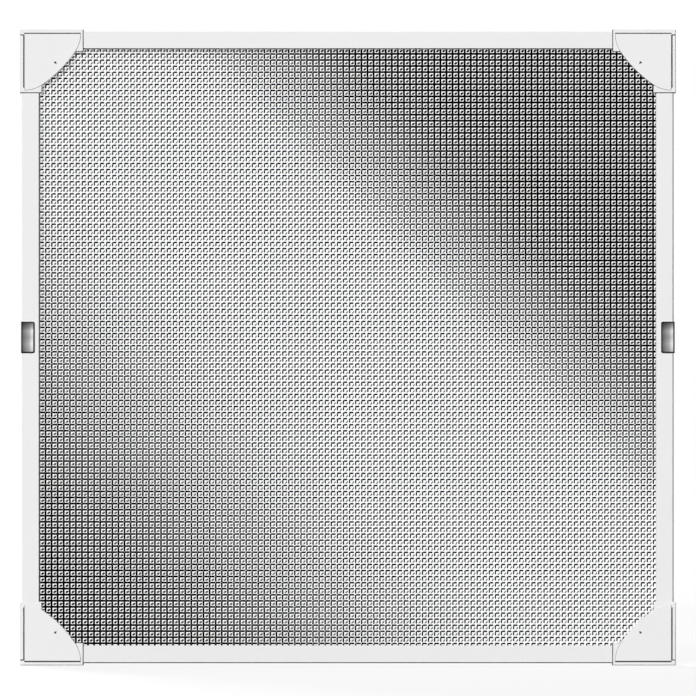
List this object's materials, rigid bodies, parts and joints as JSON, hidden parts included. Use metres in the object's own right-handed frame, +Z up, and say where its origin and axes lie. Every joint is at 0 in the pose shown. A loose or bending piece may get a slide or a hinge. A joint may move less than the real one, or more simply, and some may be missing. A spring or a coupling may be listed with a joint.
{
  "type": "window screen frame",
  "caption": "Rectangular window insect screen: slim hollow frame with moulded gusset corners, spring side clips and a stretched woven wire mesh held by a rubber spline.",
  "frame": {"origin": "middle of the frame on the plane of the bars' back faces, which lie against the window's stop", "axes": "+X to the right as seen from the front, +Y from front to back, +Z up"},
  "size_m": [0.7142, 0.0135, 0.6924],
  "materials": {
    "frame_coat": "satin powder coat on aluminium",
    "corner_plastic": "moulded satin plastic",
    "spring_steel": "brushed",
    "spline_rubber": "matt",
    "mesh_wire": "dark coated wire with a pale sheen"
  },
  "bodies": {
    "root": {"stile_left": "frame_coat", "stile_right": "frame_coat", "rail_top": "frame_coat", "rail_bottom": "frame_coat", "corner_top_left": "corner_plastic", "corner_top_right": "corner_plastic", "corner_bottom_left": "corner_plastic", "corner_bottom_right": "corner_plastic", "side_clip_left": "spring_steel", "side_clip_right": "spring_steel", "spline": "spline_rubber", "screen_mesh": "mesh_wire"}
  },
  "joints": []
}
